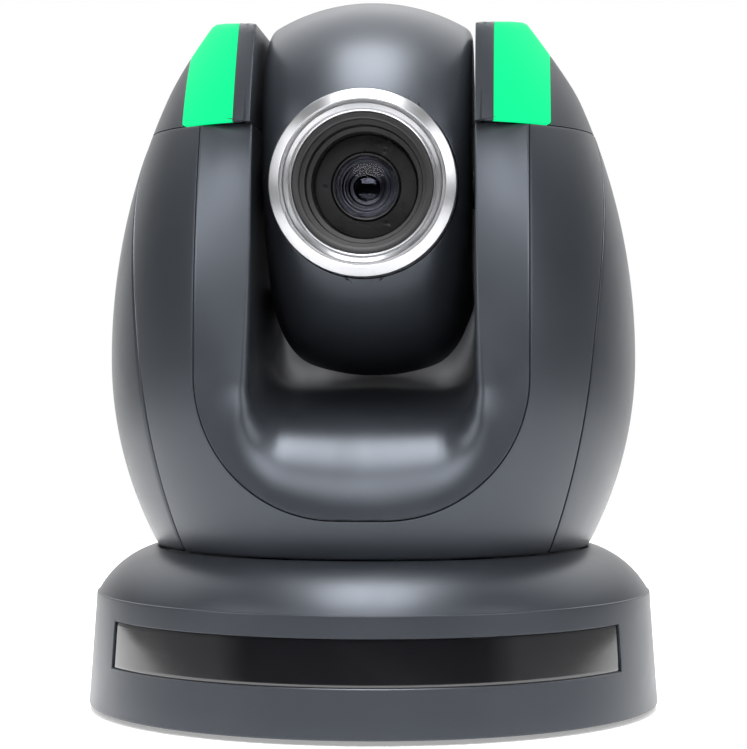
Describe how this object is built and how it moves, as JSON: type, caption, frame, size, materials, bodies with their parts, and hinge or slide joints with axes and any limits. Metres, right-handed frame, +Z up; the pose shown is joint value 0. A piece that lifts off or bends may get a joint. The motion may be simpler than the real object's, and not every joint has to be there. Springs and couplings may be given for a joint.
{
  "type": "ptz camera",
  "caption": "Desktop pan, tilt and zoom camera: flared round base, turning turret with two arms, ball head with a recessed zoom lens, and tally lamps on the arms.",
  "frame": {"origin": "centre of the tripod thread's mouth, in the plane of the feet", "axes": "+Z up along the pan axis, the lens looks along -Y at rest, and the tilt axis is along X"},
  "size_m": [0.1772, 0.1772, 0.219],
  "materials": {
    "body_plastic": "satin fine grained dark grey moulding",
    "window_plastic": "polished infra-red black",
    "tally_plastic": "glowing green diffuser",
    "black_plastic": "matte black",
    "white_plastic": "matte white",
    "blue_plastic": "matte blue",
    "bezel_aluminium": "fine turned",
    "cast_aluminium": "cast, machined seats",
    "dark_metal": "fine texture black paint",
    "steel": "ground",
    "tin_plate": "bright tin plate",
    "brass": "turned",
    "rubber": "matte",
    "circuit_board": "green solder mask",
    "lens_glass": "coated"
  },
  "bodies": {
    "base": {"base_plate": "dark_metal", "tripod_bush": "brass", "foot_pads": "rubber", "base_housing": "body_plastic", "ir_window": "window_plastic", "ir_receiver_board": "circuit_board", "rear_panel": "dark_metal", "base_board": "circuit_board", "sdi_jack": "tin_plate", "hdmi_socket": "tin_plate", "lan_socket": "tin_plate", "serial_socket": "black_plastic", "dc_jack": "black_plastic", "dip_switch_body": "blue_plastic", "pan_carrier": "cast_aluminium", "pan_bearing_outer": "steel", "pan_bearing_balls": "steel", "pan_motor": "dark_metal", "pan_belt": "rubber", "base_screws": "steel"},
    "turret": {"pan_bearing_inner": "steel", "pan_hub": "cast_aluminium", "pan_pulley": "black_plastic", "hub_harness": "rubber", "yoke_frame": "cast_aluminium", "turret_board": "circuit_board", "cradle": "body_plastic", "front_cover": "body_plastic", "rear_cover": "body_plastic", "left_side_cover": "body_plastic", "right_side_cover": "body_plastic", "left_arm_cap": "body_plastic", "right_arm_cap": "body_plastic", "left_tally_lens": "tally_plastic", "right_tally_lens": "tally_plastic", "tally_boards": "circuit_board", "tilt_bushes": "brass", "tilt_motor": "dark_metal", "tilt_belt": "rubber", "cover_screws": "steel"},
    "head": {"head_front_shell": "body_plastic", "head_rear_shell": "body_plastic", "lens_bezel": "bezel_aluminium", "lens_barrel": "black_plastic", "lens_retainer": "black_plastic", "front_lens": "lens_glass", "camera_block": "dark_metal", "guide_rods": "steel", "sensor_board": "circuit_board", "head_bracket": "steel", "tilt_axles": "dark_metal", "tilt_pulley": "black_plastic"},
    "pan_pinion": {"pan_motor_pulley": "cast_aluminium"},
    "tilt_pinion": {"tilt_motor_pulley": "cast_aluminium"},
    "zoom_carriage": {"zoom_group": "black_plastic"},
    "focus_carriage": {"focus_group": "black_plastic"},
    "dip_1": {"dip_lever_1": "white_plastic"},
    "dip_2": {"dip_lever_2": "white_plastic"},
    "dip_3": {"dip_lever_3": "white_plastic"},
    "dip_4": {"dip_lever_4": "white_plastic"}
  },
  "joints": [
    {"name": "pan", "type": "hinge", "parent": "base", "child": "turret", "pos_m": [0, 0, 0.0405], "axis": [0, 0, 1], "range_deg": [-170, 170]},
    {"name": "tilt", "type": "hinge", "parent": "turret", "child": "head", "pos_m": [0, 0, 0.161], "axis": [-1, 0, 0], "range_deg": [-30, 90]},
    {"name": "pan_motor_shaft", "type": "hinge", "parent": "base", "child": "pan_pinion", "pos_m": [-0.0523, 0, 0.028], "axis": [0, 0, 1], "range_deg": [-637.5, 637.5]},
    {"name": "tilt_motor_shaft", "type": "hinge", "parent": "turret", "child": "tilt_pinion", "pos_m": [0.048, 0, 0.077], "axis": [-1, 0, 0], "range_deg": [-90, 270]},
    {"name": "zoom", "type": "slide", "parent": "head", "child": "zoom_carriage", "axis": [0, 1, 0], "range_m": [0, 0.02]},
    {"name": "focus", "type": "slide", "parent": "head", "child": "focus_carriage", "axis": [0, 1, 0], "range_m": [0, 0.014]},
    {"name": "dip_switch_1", "type": "slide", "parent": "base", "child": "dip_1", "axis": [0, 0, 1], "range_m": [0, 0.0015]},
    {"name": "dip_switch_2", "type": "slide", "parent": "base", "child": "dip_2", "axis": [0, 0, 1], "range_m": [0, 0.0015]},
    {"name": "dip_switch_3", "type": "slide", "parent": "base", "child": "dip_3", "axis": [0, 0, 1], "range_m": [0, 0.0015]},
    {"name": "dip_switch_4", "type": "slide", "parent": "base", "child": "dip_4", "axis": [0, 0, 1], "range_m": [0, 0.0015]}
  ],
  "couplings": [
    {"joint": "pan_motor_shaft", "follows": "pan", "ratio": 3.75},
    {"joint": "tilt_motor_shaft", "follows": "tilt", "ratio": 3}
  ]
}
